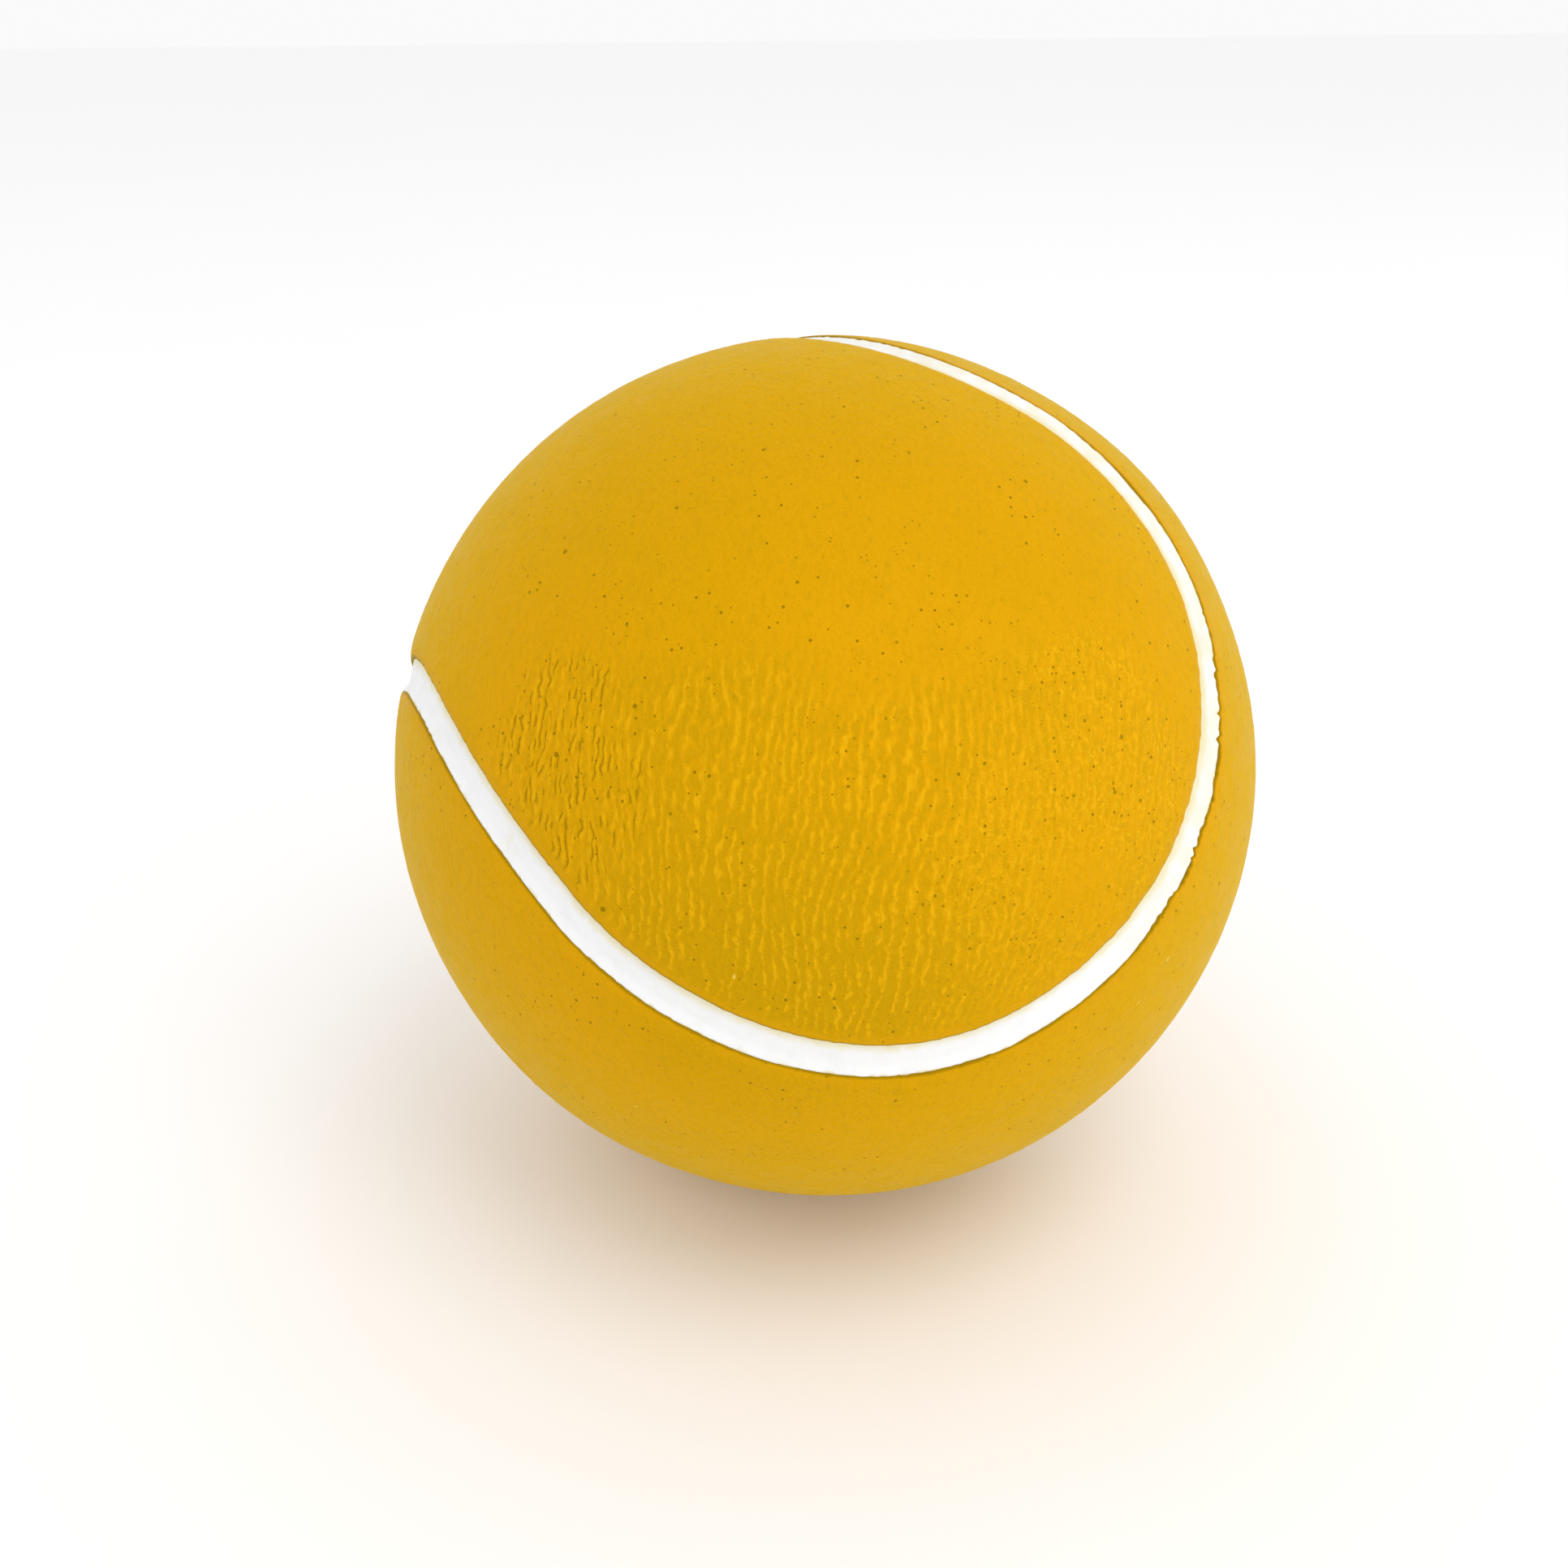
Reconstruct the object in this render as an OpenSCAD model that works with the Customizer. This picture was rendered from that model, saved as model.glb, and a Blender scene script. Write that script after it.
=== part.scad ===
// Foam stress ball styled as a tennis ball: a foam core in a denser moulded skin, two
// interlocked amber panels and a white line that lies in the groove between them.
// The ball's centre is the origin. It is squeezed along Z.

/* [Ball] */
// Diameter of the ball
ball_d = 63; // [55:1:75]
// Thickness of the dense skin that forms against the mould
skin_t = 1; // [0.8:0.1:1.2]
// Thickness of each amber coat
coat_t = 0.3; // [0.2:0.05:0.4]

/* [Seam line] */
// Width of the groove that parts the two panels
groove_w = 2.4; // [1.6:0.1:3.6]
// Depth of the white line's face below the ball's surface
line_recess = 0.35; // [0.3:0.05:0.5]
// Thickness of the white line
line_t = 0.25; // [0.15:0.05:0.3]
// Angle by which each lobe's centre stands past the seam's mid-plane
lobe_lean = 11.2; // [6:0.2:16]

/* [Seam direction] */
// Turn of the seam about X
seam_turn_x = 166.5; // [0:0.5:360]
// Turn of the seam about Y, after the turn about X
seam_turn_y = -62; // [-90:0.5:90]
// Turn of the seam about Z, after the other two
seam_turn_z = -18.5; // [-180:0.5:180]

/* [Hidden] */
$fn = 128;

ball_r = ball_d / 2;
reach = ball_d; // longer than any radius, so that a cutter always passes the surface

// Clearances between layers, so that no two solids share a face
bond_gap = 0.02;
core_gap = 0.1;

skin_r = ball_r - coat_t - bond_gap;
line_r = ball_r - line_recess;
groove_r = line_r - line_t - bond_gap;
cavity_r = skin_r - skin_t;
core_r = cavity_r - core_gap;

// The seam is four arcs of equal circles on the ball, each round one lobe. Neighbouring
// circles touch on the seam's mid-plane, a quarter turn apart, so the seam is smooth there.
lobe_a = acos(cos(45) * cos(lobe_lean));
groove_a = groove_w / 2 / ball_r * 180 / PI;
line_a = groove_a - bond_gap / ball_r * 180 / PI;
// Where each arc meets the next, as a turn about its lobe's axis from straight down
arc_end = atan(1 / sin(lobe_lean));
// A short straight length carries the groove and the line from each arc to the next. It is
// narrower and shallower than the arcs by a hair, so that its faces never lie on theirs.
splice_l = 1;
hair = 0.015;
arc_stop = splice_l / 4 / (ball_r * sin(lobe_a)) * 180 / PI;
splice_tilt = atan(tan(lobe_lean) / sin(45));

module shell(outer, inner) {
    difference() {
        sphere(outer);
        sphere(inner);
    }
}

// Moves the Z axis onto a lobe's axis
module on_lobe(turn, lean) {
    rotate([0, 90 - lean, turn])
        children();
}

function polar(r, a) = [r * sin(a), r * cos(a)];

// A band along one lobe's arc, half degrees wide each side of the seam
module arc_band(half, inner, outer) {
    start = arc_end + arc_stop;
    rotate([0, 0, start])
        rotate_extrude(angle = 360 - 2 * start)
            polygon([
                polar(inner, lobe_a - half), polar(inner, lobe_a + half),
                polar(outer, lobe_a + half), polar(outer, lobe_a - half)
            ]);
}

// The short straight length, leaning tilt degrees from upright
module splice(tilt, half, inner, outer) {
    low = inner * cos(half) + hair;
    high = outer * cos(half) - hair;
    w = 2 * (inner * sin(half) - hair);
    rotate([tilt, 0, 0])
        translate([low, -w / 2, -splice_l / 2])
            cube([high - low, w, splice_l]);
}

module seam_band(half, inner, outer) {
    for (turn = [0, 180]) {
        rotate([0, 0, turn])
            quarter_seam(half, inner, outer);
        rotate([0, 0, turn + 90])
            mirror([0, 0, 1])
                quarter_seam(half, inner, outer);
    }
}

// A quarter of the seam: one lobe's arc and the splice at its start
module quarter_seam(half, inner, outer) {
    on_lobe(45, lobe_lean)
        arc_band(half, inner, outer);
    splice(splice_tilt, half, inner, outer);
}

// A round plug along a lobe's axis that meets the ball's surface at angle a from it
module lobe_plug(turn, lean, a) {
    on_lobe(turn, lean)
        cylinder(h = reach, r = ball_r * sin(a));
}

// The coat of the panel that runs over the top, with a lobe down each side. The cuts that
// take the other panel away all have their edges inside the groove.
module panel_coat() {
    difference() {
        difference() {
            shell(ball_r, ball_r - coat_t);
            seam_band(groove_a, groove_r, ball_r + coat_t);
        }
        for (turn = [45, 225])
            lobe_plug(turn, lobe_lean, lobe_a);
        difference() {
            translate([-reach, -reach, -reach])
                cube([2 * reach, 2 * reach, reach]);
            for (turn = [135, 315])
                lobe_plug(turn, -lobe_lean, lobe_a + groove_a / 4);
        }
    }
}

module seam_direction() {
    rotate([seam_turn_x, seam_turn_y, seam_turn_z])
        children();
}

// Half of the foam core. One pour fills both; the cut gives the squeeze two ends.
module foam_core_half() {
    intersection() {
        sphere(core_r);
        translate([-reach, -reach, core_gap / 2])
            cube([2 * reach, 2 * reach, reach]);
    }
}

module foam_core_upper() {
    color("wheat")
        foam_core_half();
}

module foam_core_lower() {
    color("wheat")
        mirror([0, 0, 1])
            foam_core_half();
}

module moulded_skin() {
    color("goldenrod")
        difference() {
            shell(skin_r, cavity_r);
            seam_direction()
                seam_band(groove_a, groove_r, ball_r);
        }
}

// The front panel is the same shape as the back one, a quarter turn round and upside down
module front_panel_coat() {
    color("#dfa80b")
        seam_direction()
            rotate([0, 0, 90])
                mirror([0, 0, 1])
                    panel_coat();
}

module back_panel_coat() {
    color("#dfa80b")
        seam_direction()
            panel_coat();
}

module seam_line() {
    color("#fbfbf7")
        seam_direction()
            seam_band(line_a, line_r - line_t, line_r);
}

foam_core_lower();
foam_core_upper();
moulded_skin();
front_panel_coat();
back_panel_coat();
seam_line();
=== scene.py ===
"""The looks of a foam stress ball styled as a tennis ball: two interlocked amber panels, finely
wrinkled by their moulding, with a white line in the groove between them, over a dense skin and a
foam core. Every mesh is worked out from directions on the unit sphere."""

import math

import bpy
import numpy as np
from mathutils import Euler, Matrix, Vector


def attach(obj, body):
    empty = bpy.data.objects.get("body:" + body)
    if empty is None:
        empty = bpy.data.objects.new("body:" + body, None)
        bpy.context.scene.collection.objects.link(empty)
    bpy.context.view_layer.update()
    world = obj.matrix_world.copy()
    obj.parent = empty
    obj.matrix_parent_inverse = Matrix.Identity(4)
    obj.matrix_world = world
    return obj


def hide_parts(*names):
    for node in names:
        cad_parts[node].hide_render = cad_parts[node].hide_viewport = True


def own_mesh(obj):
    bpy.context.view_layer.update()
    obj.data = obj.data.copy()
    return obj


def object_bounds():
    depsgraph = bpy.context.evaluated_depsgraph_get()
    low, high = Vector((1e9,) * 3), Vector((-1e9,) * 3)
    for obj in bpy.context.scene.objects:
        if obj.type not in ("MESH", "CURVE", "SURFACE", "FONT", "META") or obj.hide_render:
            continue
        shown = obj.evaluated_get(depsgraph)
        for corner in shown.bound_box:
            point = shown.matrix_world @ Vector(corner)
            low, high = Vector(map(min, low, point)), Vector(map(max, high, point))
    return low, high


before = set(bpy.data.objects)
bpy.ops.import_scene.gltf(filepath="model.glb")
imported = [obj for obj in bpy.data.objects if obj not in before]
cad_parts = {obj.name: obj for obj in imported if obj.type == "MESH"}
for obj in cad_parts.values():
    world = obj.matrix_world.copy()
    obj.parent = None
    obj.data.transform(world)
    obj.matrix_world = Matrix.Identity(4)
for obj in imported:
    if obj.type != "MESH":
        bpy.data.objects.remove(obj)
CAD_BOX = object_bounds()

MM = 0.001
BALL_R = (CAD_BOX[1][2] - CAD_BOX[0][2]) / 2
BODY = "ball"

# The layers, as depths below the ball's surface, and the seam: the same as the CAD model's
COAT_T = 0.3 * MM
SKIN_TOP = 0.32 * MM
LINE_TOP = 0.35 * MM
LINE_BOTTOM = 0.6 * MM
GROOVE_FLOOR = 0.62 * MM
CAVITY = 1.32 * MM
CORE_TOP = 1.42 * MM
GROOVE_HALF = 1.2 * MM / BALL_R
LOBE_LEAN = math.radians(11.2)
SEAM_TURNS = [math.radians(a) for a in (166.5, -62, -18.5)]
TUCK = 0.02 * MM  # how far the line and the lips reach past the groove's walls
SKIN_SINK = 0.02 * MM  # lowers the skin, so that its grain stays under the coats

# The camera stands four ball radii from the centre and looks down at it
CAMERA_TILT = math.radians(25)
CAMERA_DISTANCE = 4 * BALL_R
CAMERA_LENS_MM = 38.25
AIM_LEFT = 2.95 * MM
AIM_DOWN = 1.31 * MM

# The longest edges of each kind of surface
PLAIN_EDGE = 0.66 * MM
SEAM_EDGE = 0.3 * MM
WRINKLED_EDGE = 0.17 * MM
CREASED_EDGE = 0.1 * MM
LINE_STEP = 0.22 * MM
CORE_EDGE = 0.9 * MM
RIM_SNAP = 0.08 * MM  # corners this near a panel's rim are moved onto it

TO_CAMERA = np.array([0, -math.cos(CAMERA_TILT), math.sin(CAMERA_TILT)])
CAMERA_UP = np.array([0, math.sin(CAMERA_TILT), math.cos(CAMERA_TILT)])
RIGHT = np.array([1.0, 0, 0])


# ---------------------------------------------------------------- the seam

SEAM = np.array(Euler(SEAM_TURNS, "XYZ").to_matrix())
LOBE_A = math.acos(math.cos(math.radians(45)) * math.cos(LOBE_LEAN))
SPLICE_SLOPE = math.tan(LOBE_LEAN) / math.sin(math.radians(45))
ARC_END = math.atan(1 / math.sin(LOBE_LEAN))


def lobe_frame(i):
    """A lobe's centre, the way from it straight to the other panel's waist, and east, in the seam's
    own axes. Even lobes are the front panel's, which lean up, and odd ones the back panel's."""
    turn = math.radians(45 + 90 * i)
    lean = LOBE_LEAN if i % 2 == 0 else -LOBE_LEAN
    out = np.array([math.cos(turn), math.sin(turn), 0])
    up = np.array([0, 0, 1.0])
    centre = out * math.cos(lean) + up * math.sin(lean)
    waist = (out * math.sin(lean) - up * math.cos(lean)) * (1 if i % 2 == 0 else -1)
    east = np.array([-math.sin(turn), math.cos(turn), 0])
    return centre, waist, east


LOBES = np.array([np.array(lobe_frame(i)) @ SEAM.T for i in range(4)])
SIDE = np.array([1, -1, 1, -1])  # which way the angle from a lobe's centre grows across the seam

# The photo's seam isn't quite four arcs: at these places, as longitude and latitude about the
# view's upright, it strays that far from them, towards the back panel
STRAYS = [
    (16, -34, 0.42 * MM), (-39, -7, 0.46 * MM), (-19, -28, -0.3 * MM), (-64, 11, -0.9 * MM),
    (40, 47, 0.5 * MM), (52, 20, 0.5 * MM), (120, 20, 0.4 * MM), (-130, -25, -0.4 * MM),
    (170, 30, 0.35 * MM),
]
STRAY_LENGTH = 5.5 * MM  # how far along the seam each stray fades out


def on_map(longitude, latitude):
    """The direction at that longitude and latitude, in degrees, about the view's upright."""
    a, b = math.radians(longitude), math.radians(latitude)
    return math.cos(b) * (math.sin(a) * RIGHT + math.cos(a) * TO_CAMERA) + math.sin(b) * CAMERA_UP


def stray(lobe, turn):
    """The angle by which the seam strays from its arc there."""
    frames = LOBES[lobe]
    flat = frames[:, 1] * np.cos(turn)[:, None] + frames[:, 2] * np.sin(turn)[:, None]
    base = frames[:, 0] * math.cos(LOBE_A) + flat * math.sin(LOBE_A)
    total = np.zeros(len(base))
    for longitude, latitude, shift in STRAYS:
        gap = np.linalg.norm(base - on_map(longitude, latitude), axis=1) * BALL_R / STRAY_LENGTH
        total += shift / BALL_R * np.exp(-gap * gap / 2)
    return total


def seam_place(directions):
    """For each direction: its signed angle from the seam, above 0 on the back panel, with the lobe
    whose arc is nearest, and the turn about that lobe's axis."""
    x, y, z = (directions @ SEAM).T
    turn = np.degrees(np.arctan2(y, x)) % 360
    quarter = (((turn + 45) // 90) % 4).astype(int)
    slope = np.choose(quarter, [y, x, -y, -x]) * SPLICE_SLOPE
    front = z >= slope
    lobe = np.where(front, np.where(x + y > 0, 0, 2), np.where(y - x > 0, 1, 3))
    along, a, b = np.einsum("nij,nj->in", LOBES[lobe], directions)
    angle = np.arctan2(np.hypot(a, b), along)
    turn = np.arctan2(b, a)
    return (angle - LOBE_A) * SIDE[lobe] - stray(lobe, turn), lobe, turn


def at_seam(lobe, turn, away):
    """The directions at signed angle away from the seam, beside the arc of that lobe."""
    frames = LOBES[lobe]
    angle = (LOBE_A + SIDE[lobe] * (away + stray(lobe, turn)))[:, None]
    turn = turn[:, None]
    flat = frames[:, 1] * np.cos(turn) + frames[:, 2] * np.sin(turn)
    return frames[:, 0] * np.cos(angle) + flat * np.sin(angle)


# ---------------------------------------------------------------- smooth random fields


def waves(places, seed, pitch, count=48):
    """A smooth random field of about that pitch, as a sum of plane waves. Its spread is about 1."""
    random = np.random.default_rng(seed)
    way = random.normal(size=(count, 3))
    way /= np.linalg.norm(way, axis=1)[:, None]
    number = 2 * math.pi / (pitch * random.uniform(0.7, 1.5, count))
    phase = random.uniform(0, 2 * math.pi, count)
    total = np.zeros(len(places))
    for k in range(count):
        total += np.cos(places @ (way[k] * number[k]) + phase[k])
    return total / math.sqrt(count / 2)


def smooth(value, low, high):
    """0 below low and 1 above high, eased between them."""
    t = np.clip((value - low) / (high - low), 0, 1)
    return t * t * (3 - 2 * t)


def map_place(directions):
    """Longitude and latitude about the upright of the view, with 0, 0 towards the camera."""
    side, up, out = directions @ RIGHT, directions @ CAMERA_UP, directions @ TO_CAMERA
    return np.arctan2(side, out), np.arcsin(np.clip(up, -1, 1))


WORM_LEAN = 0.1  # how far the stripes lean to the right, as a slope


def worms(directions, seed, pitch, length, spread=0.13, count=90):
    """Upright worm-like stripes, from -1 to 1: waves that all run nearly sideways, each with a whole
    number of crests round the ball. Their small differences break the stripes into pieces of about
    length. Their sum is then brought to one height, so that no stripe is fatter than the next."""
    random = np.random.default_rng(seed)
    longitude, latitude = map_place(directions)
    places = directions * BALL_R
    drift = 0.45 * pitch * waves(places, seed + 1, 11 * MM)
    drift += 0.09 * pitch * waves(places, seed + 2, 2.2 * MM)
    drift += 0.09 * pitch * waves(places, seed + 3, 0.75 * MM)
    crests = np.rint(random.normal(1, spread, count) * 2 * math.pi * BALL_R / pitch)
    rise = random.normal(0, 2 / length, count)
    phase = random.uniform(0, 2 * math.pi, count)
    crest, flank = np.zeros(len(directions)), np.zeros(len(directions))
    around = longitude - WORM_LEAN * latitude + drift / BALL_R
    for k in range(count):
        angle = crests[k] * around + rise[k] * latitude * BALL_R + phase[k]
        crest += np.cos(angle)
        flank += np.sin(angle)
    size = np.hypot(crest, flank)
    return crest / size * smooth(size / math.sqrt(count), 0.1, 0.8)


# Where the panels are wrinkled, as longitude and latitude about the view's upright and half-widths
# each way: three that run together where the front panel faces the camera, and one on each other
# lobe. The first so many are on the front panel alone
WRINKLED = [
    (-4, -15, 47, 32), (-30, -6, 20, 21), (31, -1, 20, 21), (168, -30, 30, 25), (-84, -45, 18, 13),
    (120, 48, 24, 19),
]
FRONT_PANEL_ONLY = 3
LOW_OLIVE_PATCHES = [(-4, -24, 36, 24), (165, -36, 30, 22)]  # two patches low on the ball, at the front and at the back, where the amber is mixed towards olive


def in_patch(directions, patch):
    """How far into a patch each direction is, from 0 at its rim to 1 at its middle."""
    longitude, latitude = map_place(directions)
    off = (np.degrees(longitude) - patch[0] + 180) % 360 - 180
    off *= np.cos(latitude)
    return 1 - np.hypot(off / patch[2], (np.degrees(latitude) - patch[1]) / patch[3])


def wrinkle_share(directions):
    """How wrinkled the surface is, from 0 to 1."""
    uneven = 0.11 * waves(directions * BALL_R, 11, 11 * MM)
    front = seam_place(directions)[0] < 0
    shares = [
        smooth(in_patch(directions, p) + uneven, 0.0, 0.36) * (front if i < FRONT_PANEL_ONLY else 1)
        for i, p in enumerate(WRINKLED)
    ]
    return np.max(shares, axis=0)


def low_olive_share(directions):
    """How far each direction is into the olive patches low on the ball, from 0 to 1."""
    return np.max([smooth(in_patch(directions, p), 0.0, 0.9) for p in LOW_OLIVE_PATCHES], axis=0)


WORM_PITCH = 0.74 * MM
WORM_LENGTH = 1.9 * MM
WORM_HEIGHT = 0.035 * MM
CREASE_PITCH = 0.52 * MM
CREASE_LENGTH = 1.2 * MM
CREASE_DEPTH = 0.06 * MM
CREASE_LIP = 0.015 * MM
SWELL = 0.04 * MM  # how uneven the ball is as a whole
PEBBLE = 0.008 * MM
WRINKLES_START = 1.2 * MM  # this far from the seam's middle
WRINKLES_FULL = 2.9 * MM


def creased_share(directions):
    """How much of the wrinkling is hairline creases and not ridges: all of it at the view's left."""
    places = directions * BALL_R
    longitude = np.degrees(map_place(directions)[0])
    left = smooth(-longitude + 4 * waves(places, 13, 11 * MM), 15, 26) * smooth(longitude, -140, -110)
    return np.clip(left + 0.2 * smooth(waves(places, 14, 8 * MM), 0.2, 1.0), 0, 1)


def relief(directions):
    """The height of the panels' surface over the ball's, with what its colours need: how far each
    point is up a ridge, from -1 to 1, how far into a crease and onto the crease's raised lip, and the
    shares of wrinkled and leathery surface, of the two olive patches low on the ball, and of painted
    rim sheen, which grows as the surface turns away from the camera."""
    places = directions * BALL_R
    longitude = np.degrees(map_place(directions)[0])
    away = np.abs(seam_place(directions)[0]) * BALL_R
    share = wrinkle_share(directions) * smooth(away, WRINKLES_START, WRINKLES_FULL)
    creased = creased_share(directions)
    ridge = smooth(worms(directions, 21, WORM_PITCH, WORM_LENGTH), -0.4, 1.0)
    cracks = worms(directions, 31, CREASE_PITCH, CREASE_LENGTH, spread=0.2)
    dashes = share * creased * smooth(waves(places, 33, 1.4 * MM), -0.9, 0.2)
    crease = dashes * smooth(-cracks, 0.5, 0.95)
    crease_lip = dashes * smooth(cracks, 0.2, 1.0)
    right = smooth(longitude + 4 * waves(places, 17, 9 * MM), 12, 34) * smooth(-longitude, -150, -120)
    ridge_share = share * (1 - 0.5 * creased) * (1 - 0.6 * right)
    swell = SWELL * waves(places, 15, 19 * MM, 24)
    pebble = PEBBLE * waves(places, 16, 0.55 * MM, 64)
    height = ridge_share * (ridge - 0.5) * WORM_HEIGHT + swell + pebble
    height += crease_lip * CREASE_LIP - crease * CREASE_DEPTH
    turned = np.degrees(np.arccos(np.clip(directions @ TO_CAMERA, -1, 1)))
    return height, {
        "ridge": ridge_share * (2 * ridge - 1), "crease": crease, "crease_lip": crease_lip,
        "wrinkled": share, "leathery": share * right, "dense": low_olive_share(directions),
        "painted_rim_sheen": smooth(turned, 34, 66) * (1 - 0.5 * smooth(turned, 100, 140)),
    }


def texture_places(points):
    """Two sets of texture coordinates that stay with the surface when the ball is squeezed: the
    place at rest, and the same drawn out along the view's upright."""
    axes = np.stack([RIGHT, TO_CAMERA, CAMERA_UP / 4])
    return {"rest": points, "upright": points @ axes.T}


# ---------------------------------------------------------------- meshes on the unit sphere


def unit(v):
    """Each row brought to length 1."""
    return v / np.linalg.norm(v, axis=1)[:, None]


def icosahedron():
    """The corners, at radius 1, and the faces, each turned outwards."""
    golden = (1 + math.sqrt(5)) / 2
    corners = [(s, t * golden, 0) for s in (-1, 1) for t in (-1, 1)]
    points = np.array(
        corners + [(z, x, y) for x, y, z in corners] + [(y, z, x) for x, y, z in corners], float
    )
    gap = np.linalg.norm(points[:, None] - points[None], axis=2)
    near = (gap > 0.1) & (gap < 2.1)  # the edges are 2 long
    faces = [
        (i, j, k)
        for i in range(12) for j in range(i + 1, 12) for k in range(j + 1, 12)
        if near[i, j] and near[j, k] and near[i, k]
    ]
    outward = [f if np.linalg.det(points[list(f)]) > 0 else f[::-1] for f in faces]
    return unit(points), np.array(outward)


def edges_of(faces):
    """Each face's three edges as numbers of one list, with that list and how many faces have each."""
    pairs = np.sort(faces[:, [[0, 1], [1, 2], [2, 0]]].reshape(-1, 2), axis=1)
    ends, number, uses = np.unique(pairs, axis=0, return_inverse=True, return_counts=True)
    return number.reshape(-1, 3), ends, uses


def split_edges(points, faces, chosen, share=None):
    """Splits the chosen edges, at share of the way along or halfway, and the faces to suit.
    chosen(ends, uses) gives a truth for each edge."""
    number, ends, uses = edges_of(faces)
    picked = chosen(ends, uses)
    if share is None:
        share = np.full(len(ends), 0.5)
    t = share[picked][:, None]
    fresh = unit(points[ends[picked, 0]] * (1 - t) + points[ends[picked, 1]] * t)
    index = np.full(len(ends), -1)
    index[picked] = len(points) + np.arange(len(fresh))
    middle = index[number]
    count = (middle >= 0).sum(axis=1)
    made = [faces[count == 0]]
    for k in range(3):
        turn = [k, (k + 1) % 3, (k + 2) % 3]
        f, m = faces[:, turn], middle[:, turn]
        one = (count == 1) & (m[:, 0] >= 0)
        made += [
            np.stack([f[one, 0], m[one, 0], f[one, 2]], 1),
            np.stack([m[one, 0], f[one, 1], f[one, 2]], 1),
        ]
        two = (count == 2) & (m[:, 2] < 0)
        made += [
            np.stack([m[two, 0], f[two, 1], m[two, 1]], 1),
            np.stack([f[two, 0], m[two, 0], m[two, 1]], 1),
            np.stack([f[two, 0], m[two, 1], f[two, 2]], 1),
        ]
    f, m = faces[count == 3], middle[count == 3]
    made += [
        np.stack([f[:, 0], m[:, 0], m[:, 2]], 1),
        np.stack([m[:, 0], f[:, 1], m[:, 1]], 1),
        np.stack([m[:, 2], m[:, 1], f[:, 2]], 1),
        m,
    ]
    return np.concatenate([points, fresh]), np.concatenate(made)


def sphere(splits):
    """Points and faces of an icosahedron whose edges were halved that many times."""
    points, faces = icosahedron()
    for _ in range(splits):
        points, faces = split_edges(points, faces, lambda ends, uses: np.full(len(ends), True))
    return points, faces


def finer(points, faces, longest, where=None, keep_rim=False):
    """Splits edges longer than longest, in metres on the ball, where where(directions) is true."""
    for _ in range(4):
        def chosen(ends, uses):
            long = np.linalg.norm(points[ends[:, 0]] - points[ends[:, 1]], axis=1) * BALL_R > longest
            if keep_rim:
                long &= uses == 2
            if where is not None:
                long[long] = where(unit(points[ends[long]].mean(axis=1)))
            return long
        before = len(faces)
        points, faces = split_edges(points, faces, chosen)
        if len(faces) == before:
            break
    return points, faces


def clip_at_seam(points, faces, side, level):
    """The part of the sphere at least level from the seam on one side, with its rim exactly there."""
    away, lobe, turn = seam_place(points)
    away = away * side
    near = np.abs(away - level) < RIM_SNAP / BALL_R
    points = points.copy()
    points[near] = at_seam(lobe[near], turn[near], np.full(near.sum(), side * level))
    away[near] = level
    _, ends, _ = edges_of(faces)
    a, b = away[ends[:, 0]] - level, away[ends[:, 1]] - level
    crossing = a * b < 0
    share = np.where(crossing, a / np.where(crossing, a - b, 1), 0.5)
    old = len(points)
    points, faces = split_edges(points, faces, lambda e, u: crossing, share)
    _, lobe, turn = seam_place(points[old:])
    points[old:] = at_seam(lobe, turn, np.full(len(points) - old, side * level))
    away = np.concatenate([away, np.full(len(points) - old, level)])
    faces = faces[(away[faces] >= level - 1e-9).all(axis=1)]
    used, faces = np.unique(faces, return_inverse=True)
    return points[used], faces.reshape(-1, 3)


def rim_edges(faces):
    """The rim's edges, each in the direction in which its face runs."""
    number, _, uses = edges_of(faces)
    single = uses[number] == 1
    pairs = faces[:, [[0, 1], [1, 2], [2, 0]]]
    return pairs[single]


def make_object(name, points, faces, **values):
    """A smooth object from points, in metres, and faces. Each of values goes on the mesh as an
    attribute of that name, with one number for each point."""
    mesh = bpy.data.meshes.new(name)
    mesh.from_pydata(points, [], faces)
    mesh.polygons.foreach_set("use_smooth", np.full(len(mesh.polygons), True))
    for key, value in {**texture_places(points), **values}.items():
        value = np.asarray(value, np.float32)
        kind, field = ("FLOAT", "value") if value.ndim == 1 else ("FLOAT_VECTOR", "vector")
        layer = mesh.attributes.new(key, kind, "POINT")
        layer.data.foreach_set(field, value.ravel())
    mesh.update()
    made = bpy.data.objects.new(name, mesh)
    bpy.context.scene.collection.objects.link(made)
    return made


# ---------------------------------------------------------------- the panels

LIP_REACH = 1.3 * MM  # how far from the groove's wall a panel starts to roll over
COAT_EDGE = 0.5 * MM  # how far down the groove's wall the coat's edge reaches
FRONT_LIP = {"soft": 1.0, "drop": 0.3 * MM}
BACK_LIP = {"soft": 0.35, "drop": 0.16 * MM}


def lip_section(soft, drop):
    """The panel's edge in section, from its top face over the lip and back under the coat: how far
    each point stands back from the groove's wall, and its depth. The lip starts to roll at soft of
    its reach, and rolls down to drop."""
    roll = [
        (LIP_REACH * (1 - math.sin(a)) * soft, drop * (1 - math.cos(a)))
        for a in np.radians(np.linspace(0, 90, 13)[1:])
    ]
    wall = [(-TUCK, (drop + COAT_EDGE) / 2), (-TUCK, COAT_EDGE + TUCK)]
    under = [(0.06 * MM, COAT_EDGE), (0.2 * MM, 0.38 * MM), (0.45 * MM, 0.31 * MM)]
    return roll + wall + under


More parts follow.
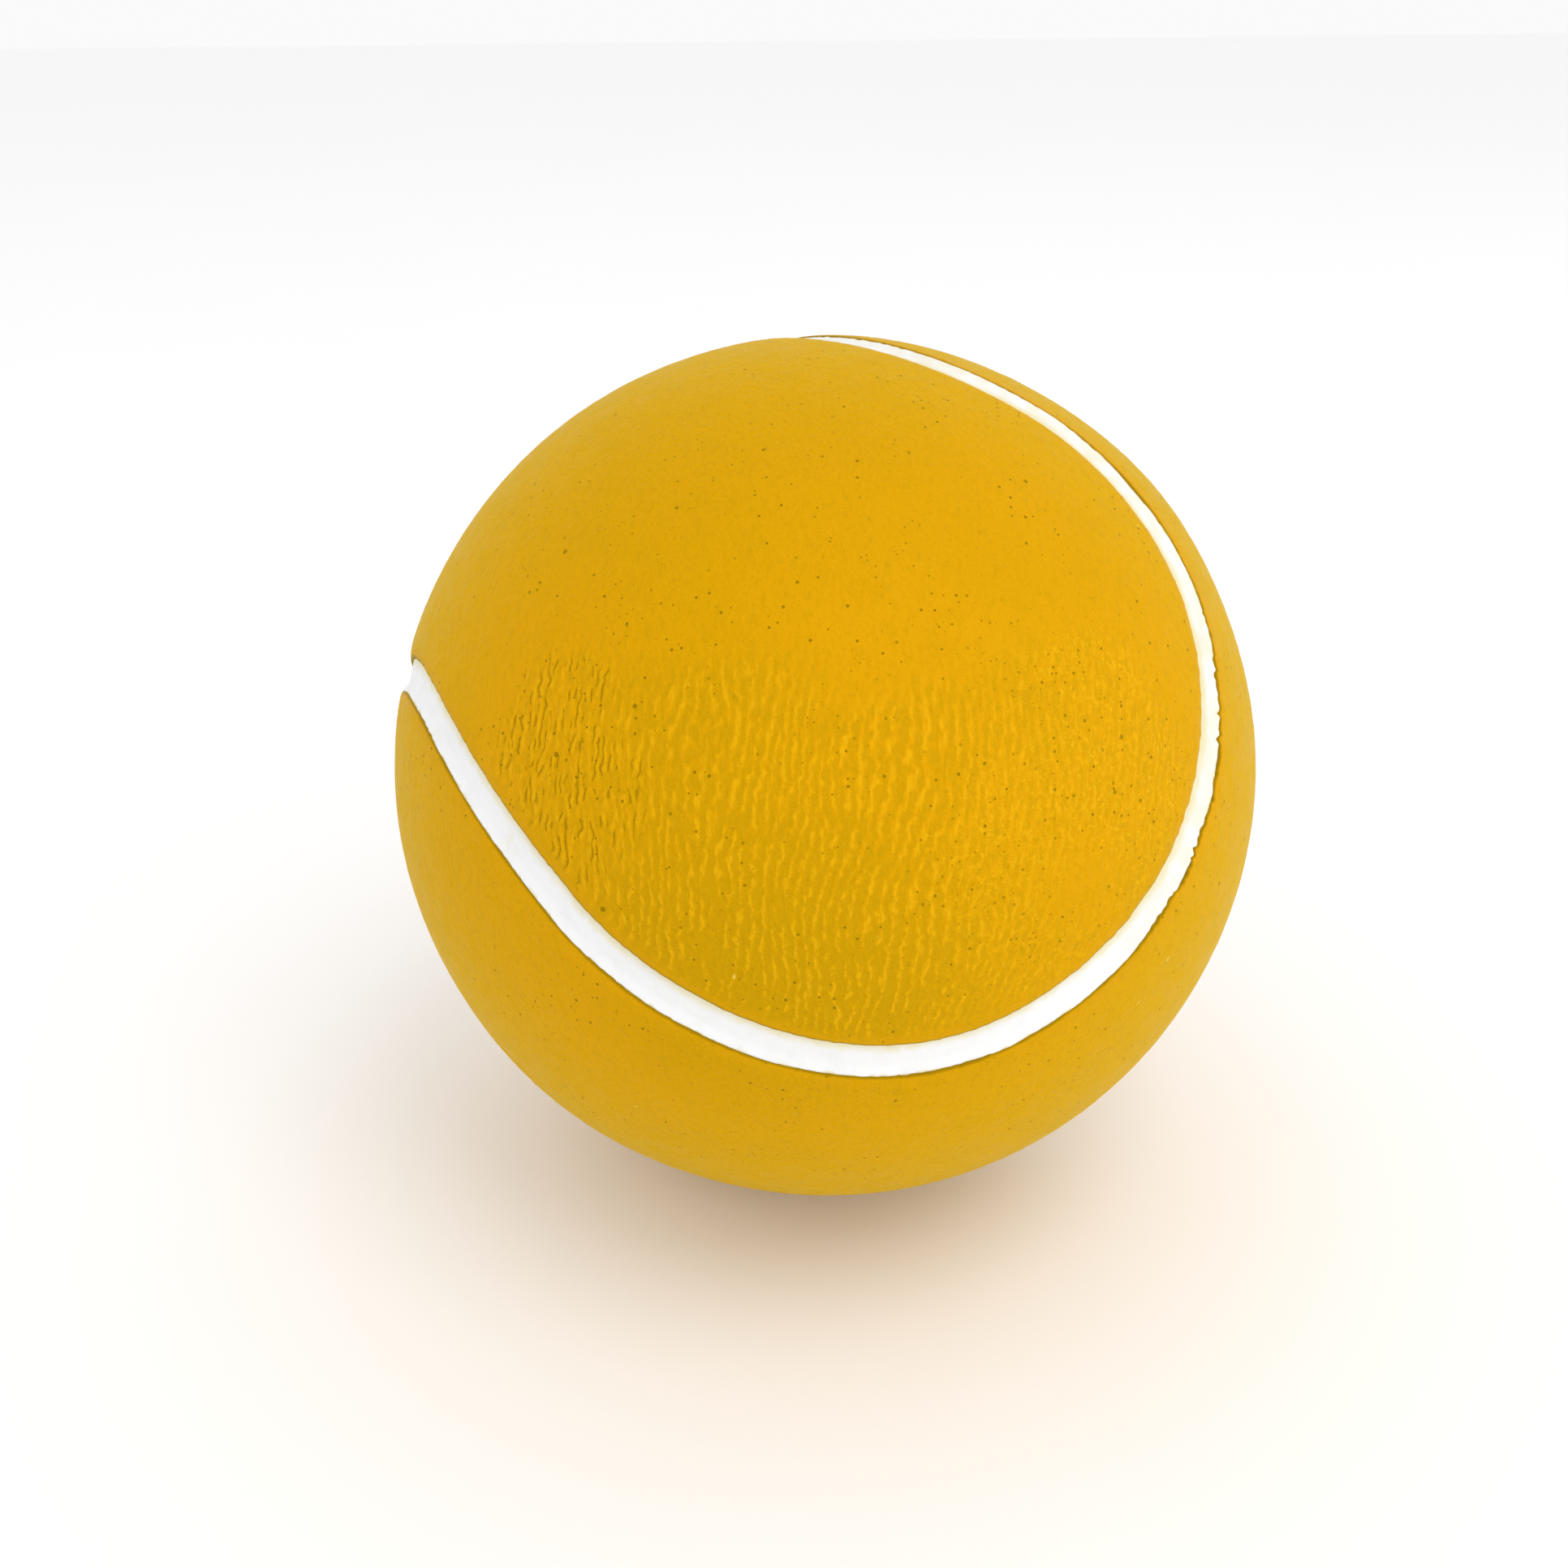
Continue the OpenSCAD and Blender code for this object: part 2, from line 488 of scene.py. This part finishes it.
def ragged(directions, panel_side):
    """How far the paint's edge wanders off its line, most at the right of the view."""
    places = directions * BALL_R
    longitude, latitude = map_place(directions)
    right = smooth(np.degrees(longitude), 25, 55) * smooth(-np.abs(np.degrees(latitude) + 2), -34, -12)
    rough = 0.02 + (0.1 if panel_side > 0 else 0.035) * right
    seed = 41 if panel_side > 0 else 42
    wander = 0.8 * waves(places, seed, 0.7 * MM) + 0.6 * waves(places, seed + 10, 2.8 * MM)
    return rough * MM * np.clip(wander, -2, 2)


def panel_surface(side, level):
    """A rough surface on one side of the seam, whose rim lies at level from it, and a finer one with
    the same rim. Each is a pair of directions and faces, and the finer starts with the rough one's
    directions."""
    near_seam = lambda d: np.abs(seam_place(d)[0]) < level + 2.5 * MM / BALL_R
    wrinkled = lambda d: wrinkle_share(d) > 0.08
    creased = lambda d: wrinkle_share(d) * creased_share(d) > 0.4
    rough = clip_at_seam(*finer(*sphere(5), SEAM_EDGE, near_seam), side, level)
    fine = finer(*rough, PLAIN_EDGE, keep_rim=True)
    fine = finer(*fine, WRINKLED_EDGE, wrinkled, keep_rim=True)
    fine = finer(*fine, CREASED_EDGE, creased, keep_rim=True)
    return rough, fine


def lip_rings(rim, side, section):
    """A ring of points for each point of the section, beside the rim's directions. With the rings
    come how far onto the lip they are, and the rim's own shades as they fade out over the lip."""
    _, lobe, turn = seam_place(rim)
    wander = ragged(rim, side)
    height, shades = relief(rim)
    rings, lip, kept = [], [], []
    for back, depth in section:
        fade = smooth(LIP_REACH - back, 0.0, LIP_REACH * 0.8)
        away = side * (GROOVE_HALF + (back + wander * fade) / BALL_R)
        radius = BALL_R - depth + height * (1 - 0.5 * fade)
        rings.append(at_seam(lobe, turn, away) * radius[:, None])
        lip.append(np.full(len(rim), 1 - back / LIP_REACH))
        kept.append(1 - fade)
    return rings, lip, {key: [value * share for share in kept] for key, value in shades.items()}


def make_panel(name, side, soft, drop):
    """A closed panel: its wrinkled face, its plain underside, and the lip between their rims. side
    is -1 for the front panel and 1 for the back one."""
    (rough, rough_faces), (fine, faces) = panel_surface(side, GROOVE_HALF + LIP_REACH / BALL_R)
    height, shades = relief(fine)
    top = fine * (BALL_R + height)[:, None]
    under = rough * (BALL_R - COAT_T)
    rim, ends = np.unique(rim_edges(rough_faces), return_inverse=True)
    a, b = ends.reshape(-1, 2).T
    rings, ring_lip, ring_shades = lip_rings(rough[rim], side, lip_section(soft, drop))
    first = len(top) + len(under)
    order = [rim]
    order += [first + len(rim) * k + np.arange(len(rim)) for k in range(len(rings))]
    order.append(len(top) + rim)
    walls = []
    for upper, lower in zip(order[:-1], order[1:]):
        walls.append(np.stack([upper[b], upper[a], lower[a]], 1))
        walls.append(np.stack([upper[b], lower[a], lower[b]], 1))
    plain = np.zeros(len(under))
    for key, value in shades.items():
        shades[key] = np.concatenate([value, plain] + ring_shades[key])
    all_points = np.concatenate([top, under] + rings)
    all_faces = np.concatenate([faces, rough_faces[:, ::-1] + len(top)] + walls)
    lip = np.concatenate([np.zeros(first)] + ring_lip)
    return make_object(name, all_points, all_faces, lip=lip, **shades)


# ---------------------------------------------------------------- the line, the skin and the core


def seam_columns(step):
    """Evenly spaced places once round the whole seam: the lobe, and the turn about its axis."""
    sweep = 2 * math.pi - 2 * ARC_END
    count = int(sweep * math.sin(LOBE_A) * BALL_R / step)
    turn = -ARC_END - sweep * np.arange(count) / count
    return np.repeat(np.arange(4), count), np.tile(turn, 4)


LINE_CLIMB = 0.24 * MM
LINE_DISH = 0.05 * MM


def make_line():
    """A closed ribbon in the groove, slightly dished. It is tucked under the front panel's lip and
    climbs to meet the back panel's."""
    lobe, turn = seam_columns(LINE_STEP)
    longitude, latitude = np.degrees(map_place(at_seam(lobe, turn, np.zeros(len(lobe)))))
    # Worn at the right of the view, where the line also gets wider painted shade along its inner side
    worn = smooth(longitude + 0.6 * np.maximum(latitude, 0), 30, 56) * smooth(-longitude, -150, -120)
    reach = GROOVE_HALF + TUCK / BALL_R
    columns, edge = [], []
    for t in np.linspace(-1, 1, 25):
        directions = at_seam(lobe, turn, np.full(len(lobe), t * reach))
        places = directions * BALL_R
        depth = LINE_TOP + LINE_DISH * (1 - t * t) - LINE_CLIMB * smooth(t, 0.35, 1.0)
        grain = 0.01 * MM * waves(places, 61, 0.6 * MM) + 0.02 * MM * waves(places, 62, 4 * MM)
        columns.append(directions * (BALL_R - depth + grain)[:, None])
        edge.append(np.full(len(lobe), t))
    for t in (1, -1):
        directions = at_seam(lobe, turn, np.full(len(lobe), t * reach))
        columns.append(directions * (BALL_R - LINE_BOTTOM))
        edge.append(np.full(len(lobe), float(t)))
    n, rows = len(lobe), len(columns)
    here = np.arange(n)
    following = (here + 1) % n
    faces = []
    for k in range(rows):
        j = (k + 1) % rows
        faces.append(np.stack([here + n * k, following + n * k, following + n * j, here + n * j], 1))
    return make_object(
        "seam_line_paint", np.concatenate(columns), np.concatenate(faces),
        edge=np.concatenate(edge), worn=np.tile(worn, rows),
    )


def make_skin():
    """The dense skin: the moulded groove outside, a plain cavity inside."""
    near_seam = lambda d: np.abs(seam_place(d)[0]) * BALL_R < 2.4 * MM
    points, faces = finer(*sphere(5), SEAM_EDGE, near_seam)
    away = np.abs(seam_place(points)[0]) * BALL_R
    depth = GROOVE_FLOOR + (SKIN_TOP - GROOVE_FLOOR) * smooth(away, 1.25 * MM, 1.85 * MM)
    grain = 0.004 * MM * waves(points * BALL_R, 71, 2 * MM)
    outer = points * (BALL_R - depth - SKIN_SINK + grain)[:, None]
    inner, inner_faces = sphere(5)
    faces = np.concatenate([faces, inner_faces[:, ::-1] + len(outer)])
    return make_object("skin", np.concatenate([outer, inner * (BALL_R - CAVITY)]), faces)


def make_core():
    """The foam core, with the dimples of its open cells."""
    points, faces = finer(*sphere(5), CORE_EDGE)
    places = points * BALL_R
    cells = waves(places, 81, 2.2 * MM) + 0.6 * waves(places, 82, 4.5 * MM)
    depth = CORE_TOP + 0.04 * MM * smooth(cells, -0.2, 1.6)
    return make_object("foam_core", points * (BALL_R - depth)[:, None], faces)


# ---------------------------------------------------------------- materials


class Shader:
    """A material whose nodes are added one call at a time. An input is a number, a colour or an
    output of another node."""

    def __init__(self, name):
        self.material = bpy.data.materials.new(name)
        self.material.use_nodes = True
        self.tree = self.material.node_tree
        self.bsdf = self.tree.nodes["Principled BSDF"]
        self.place = self.spot("rest")
        self.upright = self.spot("upright")

    def spot(self, name):
        """The mesh's own triple of that name, for use as a texture coordinate."""
        return self.add("Attribute", {"attribute_name": name}).outputs["Vector"]

    def add(self, kind, settings=None, **inputs):
        node = self.tree.nodes.new("ShaderNode" + kind)
        for key, value in (settings or {}).items():
            setattr(node, key, value)
        for key, value in inputs.items():
            self.put(node.inputs[key.replace("_", " ")], value)
        return node

    def put(self, socket, value):
        if isinstance(value, bpy.types.NodeSocket):
            self.tree.links.new(value, socket)
        else:
            socket.default_value = value

    def noise(self, pitch, detail=2.0, roughness=0.5, place=None):
        """Noise whose features are about pitch metres apart, from 0 to 1."""
        return self.add(
            "TexNoise", Vector=place or self.place, Scale=1 / pitch, Detail=detail,
            Roughness=roughness,
        ).outputs["Fac"]

    def cells(self, pitch, place=None):
        """The distance to the nearest of some scattered points about pitch apart, and its colour."""
        node = self.add("TexVoronoi", Vector=place or self.place, Scale=1 / pitch)
        return node.outputs["Distance"], node.outputs["Color"]

    def dots(self, pitch, size, share, place=None):
        """Round dots, one to a cell in that share of the cells, with radii up to size cells."""
        distance, colour = self.cells(pitch, place=place)
        random = self.add("SeparateColor", Color=colour).outputs["Red"]
        radius = self.ramp(random, 1 - share, 1.0, 0.35 * size, size)
        dot = self.ramp(self.math("SUBTRACT", distance, radius), 0.0, 0.05, 1.0, 0.0)
        return self.math("MULTIPLY", dot, self.math("GREATER_THAN", random, 1 - share))

    def math(self, operation, a, b):
        node = self.add("Math", {"operation": operation})
        self.put(node.inputs[0], a)
        self.put(node.inputs[1], b)
        return node.outputs[0]

    def ramp(self, value, low, high, out_low=0.0, out_high=1.0):
        """value eased from low..high to out_low..out_high."""
        node = self.add("MapRange", {"interpolation_type": "SMOOTHSTEP"}, Value=value)
        self.put(node.inputs["From Min"], low)
        self.put(node.inputs["From Max"], high)
        self.put(node.inputs["To Min"], out_low)
        self.put(node.inputs["To Max"], out_high)
        return node.outputs["Result"]

    def mix(self, share, a, b):
        """That share of colour b, and the rest of colour a."""
        node = self.add("Mix", {"data_type": "RGBA"})
        self.put(node.inputs["Factor"], share)
        self.put(node.inputs[6], a)  # the two colours and the result have only numbers to go by
        self.put(node.inputs[7], b)
        return node.outputs[2]

    def value(self, name):
        """The mesh's own value of that name."""
        return self.add("Attribute", {"attribute_name": name}).outputs["Fac"]

    def bump(self, height, distance, below=None):
        node = self.add("Bump", Height=height, Distance=distance)
        if below is not None:
            self.put(node.inputs["Normal"], below)
        return node.outputs["Normal"]

    def finish(self, colour, roughness, normal):
        self.put(self.bsdf.inputs["Base Color"], colour)
        self.put(self.bsdf.inputs["Roughness"], roughness)
        self.put(self.bsdf.inputs["Normal"], normal)
        return self.material


AMBER = (0.65, 0.33, 0.0004, 1)
AMBER_WARM = (0.70, 0.338, 0.0005, 1)
AMBER_RIM_SHEEN = (0.66, 0.365, 0.0006, 1)
OLIVE = (0.50, 0.285, 0.0003, 1)
DEEP_OLIVE = (0.25, 0.155, 0.0005, 1)
PALE_AMBER = (0.80, 0.43, 0.004, 1)
LINT = (0.90, 0.72, 0.16, 1)


def amber_coat():
    s = Shader("amber_coat")
    wrinkled, crease = s.value("wrinkled"), s.value("crease")
    fine = s.ramp(s.noise(0.2 * MM, 2.0, 0.6, s.upright), 0.25, 0.75, -0.8, 0.8)
    jagged = s.math("ADD", s.value("ridge"), s.math("MULTIPLY", fine, wrinkled))
    colour = s.mix(s.ramp(s.noise(24 * MM), 0.35, 0.65), AMBER, AMBER_WARM)
    # Painted sheen: lighter and yellower as the surface turns away from the camera, towards the rims
    colour = s.mix(s.value("painted_rim_sheen"), colour, AMBER_RIM_SHEEN)
    colour = s.mix(s.ramp(s.noise(2.6 * MM, 4.0, 0.6), 0.45, 0.75, 0.0, 0.15), colour, OLIVE)
    # Darker and more olive in the two patches low on the ball
    colour = s.mix(s.math("MULTIPLY", s.value("dense"), 0.5), colour, OLIVE)
    # Painted shade, olive, in the wrinkles' valleys, and a painted highlight, pale amber, on their
    # ridge tops
    colour = s.mix(s.ramp(jagged, 0.2, -1.0, 0.0, 0.5), colour, OLIVE)
    colour = s.mix(s.ramp(jagged, 0.2, 1.2, 0.0, 0.6), colour, PALE_AMBER)
    # A painted highlight, pale amber, on the creases' raised lips, and painted shade, deep olive, in
    # the creases
    colour = s.mix(s.ramp(s.value("crease_lip"), 0.2, 1.0, 0.0, 0.5), colour, PALE_AMBER)
    jagged_crease = s.math("ADD", crease, s.math("MULTIPLY", fine, s.math("MULTIPLY", crease, 0.5)))
    colour = s.mix(s.ramp(jagged_crease, 0.2, 0.9, 0.0, 0.6), colour, DEEP_OLIVE)
    # Fine upright ribs and leathery grain
    rib = s.noise(0.34 * MM, 1.0, 0.5, s.upright)
    colour = s.mix(s.ramp(rib, 0.48, 0.75, 0.0, 0.25), colour, OLIVE)
    grain = s.noise(0.4 * MM, 2.0, 0.6)
    colour = s.mix(s.ramp(grain, 0.52, 0.72, 0.0, 0.22), colour, OLIVE)
    colour = s.mix(s.ramp(s.noise(0.16 * MM, 2.0), 0.5, 0.8, 0.0, 0.3), colour, PALE_AMBER)
    speckle = s.ramp(s.noise(0.3 * MM, 3.0, 0.7), 0.5, 0.68, 0.0, 0.75)
    colour = s.mix(s.math("MULTIPLY", speckle, s.value("leathery")), colour, PALE_AMBER)
    # Pinholes gather in drifts, with a few wider ones and specks of lint
    drift = s.ramp(s.noise(6 * MM, 2.0), 0.42, 0.56, 0.2, 1.0)
    pin = s.math("MULTIPLY", s.dots(0.72 * MM, 0.1, 0.85), drift)
    pin = s.math("MAXIMUM", pin, s.dots(2.6 * MM, 0.035, 0.4))
    fine_drift = s.ramp(s.noise(5 * MM), 0.5, 0.62, 0.0, 0.6)
    fine_pins = s.math("MULTIPLY", s.dots(0.44 * MM, 0.12, 0.5), fine_drift)
    pin = s.math("MAXIMUM", pin, fine_pins)
    close_pins = s.math("MULTIPLY", s.dots(0.62 * MM, 0.12, 0.75), s.value("leathery"))
    pin = s.math("MAXIMUM", pin, close_pins)
    # The pinholes are painted deep olive: painted shade in the holes
    colour = s.mix(s.math("MULTIPLY", pin, 0.75), colour, DEEP_OLIVE)
    lint = s.dots(1.7 * MM, 0.022, 0.2, s.upright)
    colour = s.mix(s.math("MULTIPLY", lint, 0.6), colour, LINT)
    # Painted shade, deep olive, where each panel's lip rolls down into the groove
    colour = s.mix(s.ramp(s.value("lip"), 0.76, 0.97, 0.0, 0.8), colour, DEEP_OLIVE)
    normal = s.bump(grain, 0.1 * MM)
    normal = s.bump(s.noise(0.18 * MM, 2.0, 0.65), 0.02 * MM, below=normal)
    normal = s.bump(rib, 0.04 * MM, below=normal)
    normal = s.bump(s.math("SUBTRACT", 1.0, pin), 0.08 * MM, below=normal)
    roughness = s.ramp(s.noise(1.4 * MM, 3.0), 0.3, 0.7, 0.42, 0.56)
    s.bsdf.inputs["Specular IOR Level"].default_value = 0.025
    s.bsdf.inputs["Sheen Weight"].default_value = 0.13
    s.bsdf.inputs["Sheen Roughness"].default_value = 0.35
    s.bsdf.inputs["Sheen Tint"].default_value = (0.8, 1.0, 0.1, 1)
    return s.finish(colour, roughness, normal)


WHITE = (0.86, 0.865, 0.87, 1)
WHITE_SHADED = (0.79, 0.79, 0.785, 1)
# Yellowish: for real stains on the white line and for painted shade along its inner side
STAIN_AND_SHADE = (0.76, 0.66, 0.30, 1)
SKIN_DARK = (0.50, 0.27, 0.01, 1)
SKIN_LIGHT = (0.62, 0.36, 0.03, 1)
FOAM_DARK = (0.78, 0.62, 0.33, 1)
FOAM_LIGHT = (0.90, 0.78, 0.52, 1)
FLOOR_DARK = (0.955, 0.955, 0.955, 1)
FLOOR_LIGHT = (0.97, 0.97, 0.97, 1)


def white_paint():
    s = Shader("white_paint")
    edge = s.value("edge")
    mottle = s.noise(1.8 * MM, 4.0, 0.6)
    colour = s.mix(s.ramp(mottle, 0.45, 0.75, 0.0, 0.6), WHITE, WHITE_SHADED)
    noisy_edge = s.math("ADD", edge, s.ramp(s.noise(0.9 * MM, 3.0), 0.3, 0.7, -0.12, 0.12))
    # Painted shade, yellowish, along the line's inner side under the front panel's lip, wider where
    # the line is worn; the same colour at the outer edge, in spots and in scuffs is real staining,
    # amber showing through thin paint
    inner = s.math("SUBTRACT", noisy_edge, s.math("MULTIPLY", s.value("worn"), 0.5))
    colour = s.mix(s.ramp(inner, -0.25, -1.0, 0.0, 0.7), colour, STAIN_AND_SHADE)
    colour = s.mix(s.ramp(noisy_edge, 0.9, 1.04, 0.0, 0.6), colour, STAIN_AND_SHADE)
    spots = s.ramp(s.noise(5.5 * MM, 2.0), 0.6, 0.72, 0.0, 0.4)
    colour = s.mix(s.math("MULTIPLY", spots, s.ramp(s.noise(0.7 * MM), 0.4, 0.7)), colour, STAIN_AND_SHADE)
    scuffs = s.ramp(s.noise(1.6 * MM, 3.0), 0.35, 0.65, 0.1, 0.4)
    colour = s.mix(s.math("MULTIPLY", s.value("worn"), scuffs), colour, STAIN_AND_SHADE)
    normal = s.bump(s.noise(0.16 * MM, 3.0, 0.7), 0.012 * MM)
    roughness = s.ramp(mottle, 0.3, 0.7, 0.5, 0.64)
    return s.finish(colour, roughness, normal)


def dense_skin():
    s = Shader("dense_skin")
    colour = s.mix(s.ramp(s.noise(3 * MM, 3.0), 0.35, 0.7), SKIN_DARK, SKIN_LIGHT)
    cells, _ = s.cells(0.3 * MM)
    normal = s.bump(cells, 0.02 * MM)
    return s.finish(colour, s.ramp(cells, 0.0, 1.0, 0.55, 0.75), normal)


def open_foam():
    s = Shader("open_foam")
    cells, _ = s.cells(0.6 * MM)
    # Painted shade: the foam is darker at the bottom of each cell's dimple
    colour = s.mix(s.ramp(cells, 0.1, 0.6), FOAM_DARK, FOAM_LIGHT)
    normal = s.bump(cells, 0.15 * MM)
    return s.finish(colour, s.ramp(cells, 0.0, 0.7, 0.95, 0.8), normal)


# ---------------------------------------------------------------- the pieces


def place_piece(piece, material, slot, *nodes):
    """Gives a piece its material and makes it stand for those nodes: hangs it from the ball's body and
    hides their parts from the CAD model. slot is not used."""
    piece.data.materials.append(material)
    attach(piece, BODY)
    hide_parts(*nodes)
    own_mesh(piece)
    return piece


coat = amber_coat()
place_piece(make_panel("front_panel", -1, **FRONT_LIP), coat, "panel_coat", "front_panel_coat")
place_piece(make_panel("back_panel", 1, **BACK_LIP), coat, "panel_coat", "back_panel_coat")
place_piece(make_line(), white_paint(), "white_line", "seam_line")
skin = place_piece(make_skin(), dense_skin(), "skin", "moulded_skin")
core = place_piece(make_core(), open_foam(), "foam", "foam_core_lower", "foam_core_upper")


# ---------------------------------------------------------------- floor, light and camera

FLOOR_HALF = 3.0
FLOOR_Z = -BALL_R - 0.1 * MM  # a little below the ball, so that the two don't cross


def pale_floor():
    s = Shader("pale_floor")
    colour = s.mix(s.noise(60 * MM, 3.0), FLOOR_DARK, FLOOR_LIGHT)
    roughness = s.ramp(s.noise(9 * MM), 0.3, 0.7, 0.7, 0.8)
    return s.finish(colour, roughness, s.bump(s.noise(1 * MM), 0.01 * MM))


def make_floor():
    quarters = [(-1, -1), (1, -1), (1, 1), (-1, 1)]
    corners = [(x * FLOOR_HALF, y * FLOOR_HALF, FLOOR_Z) for x, y in quarters]
    floor = make_object("floor", np.array(corners), [(0, 1, 2, 3)])
    floor.data.materials.append(pale_floor())


def soft_light(name, place, size, watts):
    """A round light at that place, turned towards the ball."""
    lamp = bpy.data.lights.new(name, "AREA")
    lamp.shape = "DISK"
    lamp.size = size
    lamp.energy = watts
    made = bpy.data.objects.new(name, lamp)
    made.location = place
    made.rotation_euler = Vector(place).to_track_quat("Z", "Y").to_euler()
    bpy.context.scene.collection.objects.link(made)


def make_world(strength):
    """Even white light from all round."""
    world = bpy.data.worlds.new("studio")
    world.use_nodes = True
    background = world.node_tree.nodes["Background"]
    background.inputs["Color"].default_value = (1, 1, 1, 1)
    background.inputs["Strength"].default_value = strength
    bpy.context.scene.world = world


def make_camera():
    """The camera, aimed a little to the left of the ball's middle and below it."""
    camera = bpy.data.cameras.new("camera")
    camera.lens = CAMERA_LENS_MM
    camera.clip_start = 0.01
    made = bpy.data.objects.new("camera", camera)
    place = TO_CAMERA * CAMERA_DISTANCE
    aim = -RIGHT * AIM_LEFT - CAMERA_UP * AIM_DOWN
    back = unit((place - aim)[None])[0]
    right = unit(np.cross(CAMERA_UP, back)[None])[0]
    turned = Matrix([right, np.cross(back, right), back]).transposed().to_4x4()
    made.matrix_world = Matrix.Translation(place) @ turned
    bpy.context.scene.collection.objects.link(made)
    bpy.context.scene.camera = made


make_floor()
soft_light("key", (0.26, -0.3, 0.75), 0.5, 1.2)
soft_light("fill", (0.65, -0.45, 0.2), 0.4, 0.85)
make_world(0.96)
make_camera()
bpy.context.scene.view_settings.view_transform = "Standard"
